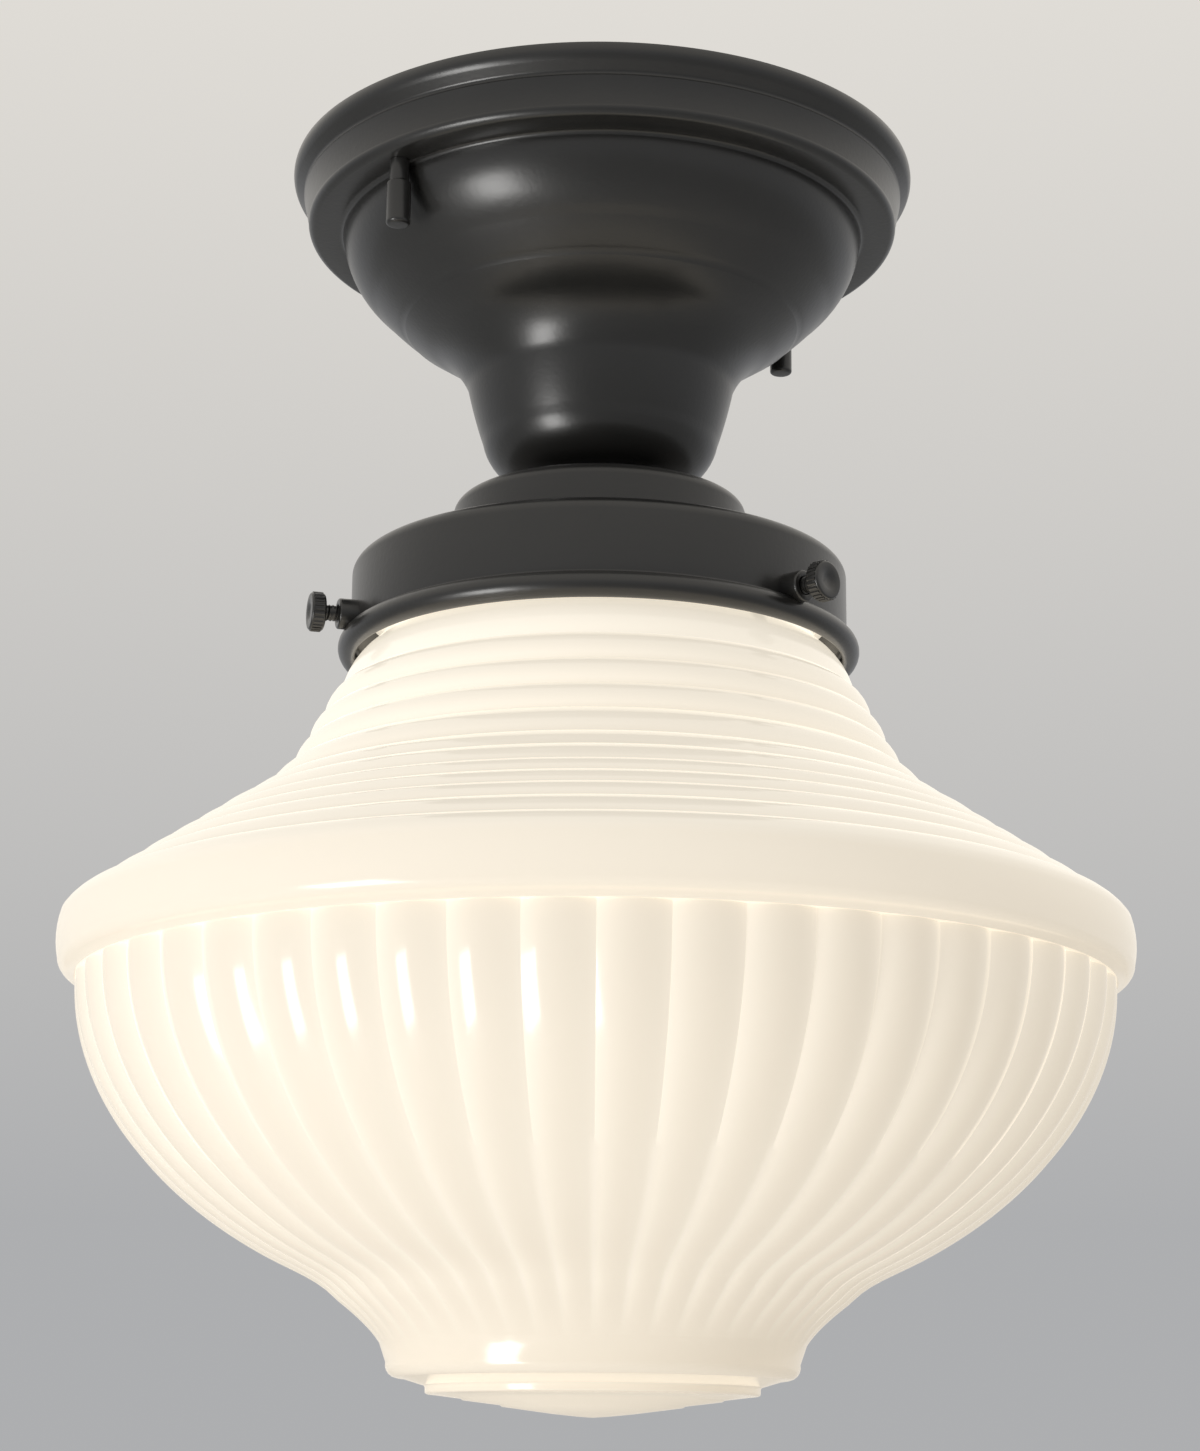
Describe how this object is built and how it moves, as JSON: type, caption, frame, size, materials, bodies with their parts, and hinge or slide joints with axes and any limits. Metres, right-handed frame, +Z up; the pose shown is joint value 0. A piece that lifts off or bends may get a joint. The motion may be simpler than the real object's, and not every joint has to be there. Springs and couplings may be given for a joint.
{
  "type": "semi flush ceiling light",
  "caption": "Semi flush ceiling light with a stepped charcoal steel canopy, a collar shade holder and a ribbed opal glass bowl shade.",
  "frame": {"origin": "middle of the crossbar's top face, which lies on the ceiling over the outlet box", "axes": "+Z up into the ceiling, X along the crossbar from stud to stud; the light hangs towards -Z"},
  "size_m": [0.2188, 0.2188, 0.2639],
  "materials": {
    "charcoal_paint": "satin baked paint with a fine orange peel",
    "zinc_steel": "zinc plated",
    "green_screw": "green dyed steel",
    "brass": "plain",
    "porcelain": "glazed ceramic",
    "nylon": "natural nylon",
    "opal_glass": "glossy opal, lit from inside",
    "lamp_opal": "frosted diffuser",
    "lamp_plastic": "moulded",
    "nickel": "plated",
    "black_insulator": "black glass",
    "board": "white coated board"
  },
  "bodies": {
    "fixture": {"crossbar": "zinc_steel", "ground_screw": "green_screw", "canopy_studs": "zinc_steel", "stud_nuts": "zinc_steel", "canopy": "charcoal_paint", "nipple": "zinc_steel", "canopy_lock_washer": "zinc_steel", "canopy_nut": "zinc_steel", "spacer_ring": "charcoal_paint", "shade_holder": "charcoal_paint", "tapped_bosses": "charcoal_paint", "socket_bracket": "zinc_steel", "holder_lock_washer": "zinc_steel", "holder_nut": "zinc_steel", "bracket_screws": "zinc_steel", "socket_body": "porcelain", "screw_shell": "brass", "centre_contact": "brass", "terminal_screws": "brass"},
    "cap_nut_right": {"cap_nut_right": "charcoal_paint"},
    "cap_nut_left": {"cap_nut_left": "charcoal_paint"},
    "shade": {"glass_shade": "opal_glass"},
    "lamp_carrier": {"lamp_contact": "nickel"},
    "lamp": {"lamp_base": "nickel", "lamp_insulator": "black_insulator", "lamp_housing": "lamp_plastic", "led_board": "board", "lamp_globe": "lamp_opal"},
    "tip_1": {"screw_tip_1": "nylon"},
    "screw_1": {"thumb_screw_1": "charcoal_paint"},
    "tip_2": {"screw_tip_2": "nylon"},
    "screw_2": {"thumb_screw_2": "charcoal_paint"},
    "tip_3": {"screw_tip_3": "nylon"},
    "screw_3": {"thumb_screw_3": "charcoal_paint"}
  },
  "joints": [
    {"name": "cap_nut_right_turn", "type": "hinge", "parent": "fixture", "child": "cap_nut_right", "pos_m": [0.0586, 0, -0.02], "axis": [0, 0, -1], "range_deg": [0, 3600]},
    {"name": "cap_nut_left_turn", "type": "hinge", "parent": "fixture", "child": "cap_nut_left", "pos_m": [-0.0586, 0, -0.02], "axis": [0, 0, -1], "range_deg": [0, 3600]},
    {"name": "shade_turn", "type": "hinge", "parent": "fixture", "child": "shade", "pos_m": [0, 0, -0.18], "axis": [0, 0, 1], "continuous": true},
    {"name": "tip_1_travel", "type": "slide", "parent": "fixture", "child": "tip_1", "axis": [0.0349, -0.9994, 0], "range_m": [0, 0.00476]},
    {"name": "screw_1_turn", "type": "hinge", "parent": "tip_1", "child": "screw_1", "pos_m": [0.00192, -0.05497, -0.1032], "axis": [0.0349, -0.9994, 0], "range_deg": [0, 2160]},
    {"name": "tip_2_travel", "type": "slide", "parent": "fixture", "child": "tip_2", "axis": [0.848, 0.5299, 0], "range_m": [0, 0.00476]},
    {"name": "screw_2_turn", "type": "hinge", "parent": "tip_2", "child": "screw_2", "pos_m": [0.04664, 0.02915, -0.1032], "axis": [0.848, 0.5299, 0], "range_deg": [0, 2160]},
    {"name": "tip_3_travel", "type": "slide", "parent": "fixture", "child": "tip_3", "axis": [-0.8829, 0.4695, 0], "range_m": [0, 0.00476]},
    {"name": "screw_3_turn", "type": "hinge", "parent": "tip_3", "child": "screw_3", "pos_m": [-0.04856, 0.02582, -0.1032], "axis": [-0.8829, 0.4695, 0], "range_deg": [0, 2160]},
    {"name": "lamp_travel", "type": "slide", "parent": "fixture", "child": "lamp_carrier", "axis": [0, 0, -1], "range_m": [0, 0.02177]},
    {"name": "lamp_turn", "type": "hinge", "parent": "lamp_carrier", "child": "lamp", "pos_m": [0, 0, -0.11], "axis": [0, 0, -1], "range_deg": [0, 2160]}
  ],
  "couplings": [
    {"joint": "screw_1_turn", "follows": "tip_1_travel", "rad_per_m": 7913.3},
    {"joint": "screw_2_turn", "follows": "tip_2_travel", "rad_per_m": 7913.3},
    {"joint": "screw_3_turn", "follows": "tip_3_travel", "rad_per_m": 7913.3},
    {"joint": "lamp_travel", "follows": "lamp_turn", "m_per_rad": 0.00057757}
  ]
}
